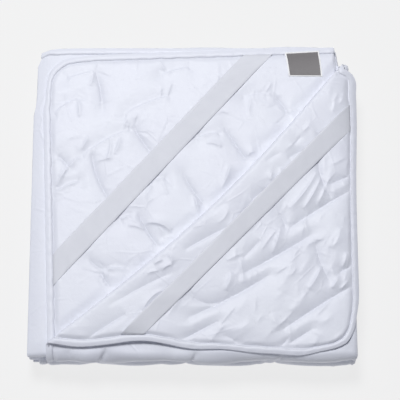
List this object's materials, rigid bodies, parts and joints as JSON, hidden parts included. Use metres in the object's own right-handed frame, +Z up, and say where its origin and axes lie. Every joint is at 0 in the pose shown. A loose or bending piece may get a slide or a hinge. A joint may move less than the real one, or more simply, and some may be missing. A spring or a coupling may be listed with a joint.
{
  "type": "quilted mattress protector, folded",
  "caption": "Quilted white mattress protector with corner elastics, folded into a flat square stack with the corner of its top ply turned back.",
  "frame": {"origin": "under the middle of the folded stack, on the surface that it lies on", "axes": "+Z up, +X to the right and +Y to the back of the stack, whose front shows two lengthwise folds"},
  "size_m": [0.4239, 0.4288, 0.0695],
  "materials": {
    "quilted_cloth": "satin",
    "binding_tape": "satin",
    "elastic_tape": "matte",
    "label_cloth": "matte"
  },
  "bodies": {
    "root": {"pad": "quilted_cloth", "binding": "binding_tape", "elastic_back": "elastic_tape", "elastic_front": "elastic_tape", "label": "label_cloth"}
  },
  "joints": []
}
